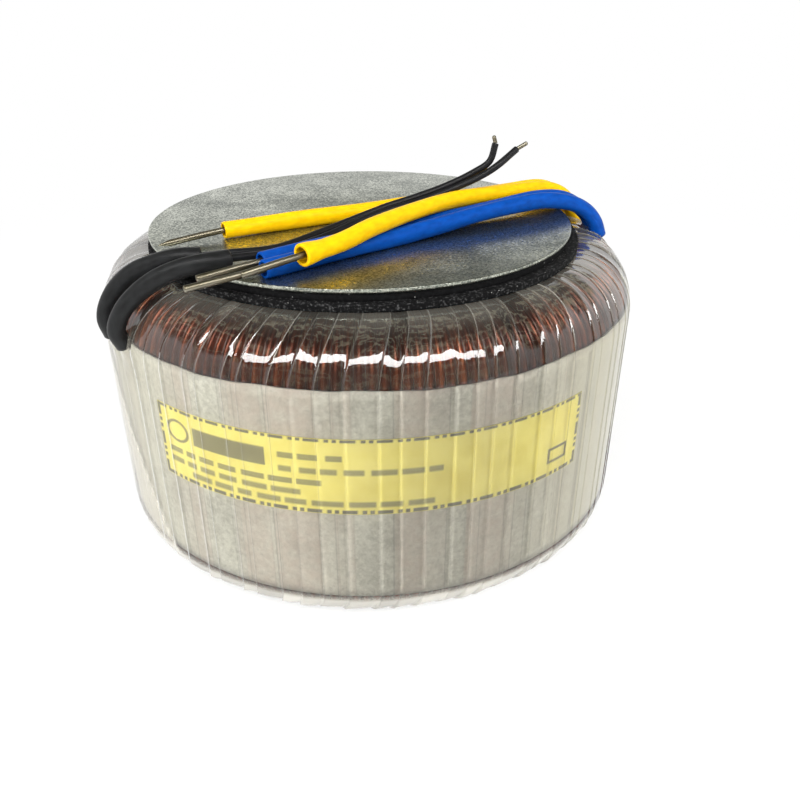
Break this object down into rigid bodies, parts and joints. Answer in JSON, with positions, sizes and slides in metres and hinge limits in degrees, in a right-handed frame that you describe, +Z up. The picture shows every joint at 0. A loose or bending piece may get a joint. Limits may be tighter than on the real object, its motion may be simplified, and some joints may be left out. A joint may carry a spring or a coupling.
{
  "type": "toroidal transformer",
  "caption": "Toroidal mains transformer: copper windings under clear film round a steel ring core, with a steel mounting disc on rubber gaskets and sleeved leads.",
  "frame": {"origin": "middle of the underside of the coil, on the face it stands on", "axes": "+Z up along the axis of the coil, -Y to the front where the label is, +X to the right where the yellow and blue leads come out"},
  "size_m": [0.12, 0.12, 0.0837],
  "materials": {
    "core_steel": "strip-wound electrical steel, dull",
    "pressboard": "matte brown board",
    "insulating_tape": "satin polyester tape",
    "enamelled_copper": "glossy enamel over copper",
    "paper": "matte fibrous paper",
    "label_foil": "satin yellow label",
    "clear_film": "glossy clear polyester film",
    "rubber": "matte black rubber with fine speckle",
    "disc_steel": "dull galvanised steel",
    "black_pvc": "satin black PVC",
    "yellow_pvc": "satin yellow PVC",
    "blue_pvc": "satin blue PVC",
    "tinned_copper": "bright tin"
  },
  "bodies": {
    "root": {"core": "core_steel", "upper_core_ring": "pressboard", "lower_core_ring": "pressboard", "core_inner_sleeve": "pressboard", "core_outer_sleeve": "pressboard", "core_tape": "insulating_tape", "primary_winding": "enamelled_copper", "primary_insulation": "insulating_tape", "secondary_winding_1": "enamelled_copper", "secondary_insulation": "insulating_tape", "secondary_winding_2": "enamelled_copper", "paper_band": "paper", "label": "label_foil", "outer_wrap": "clear_film", "lower_gasket": "rubber", "upper_gasket": "rubber", "mounting_disc": "disc_steel", "black_sleeve_1": "black_pvc", "black_sleeve_2": "black_pvc", "black_lead_1": "black_pvc", "black_lead_2": "black_pvc", "black_tip_1": "tinned_copper", "black_tip_2": "tinned_copper", "yellow_sleeve_1": "yellow_pvc", "yellow_sleeve_2": "yellow_pvc", "yellow_conductor_1": "tinned_copper", "yellow_conductor_2": "tinned_copper", "blue_sleeve_1": "blue_pvc", "blue_sleeve_2": "blue_pvc", "blue_conductor_1": "tinned_copper", "blue_conductor_2": "tinned_copper"}
  },
  "joints": []
}
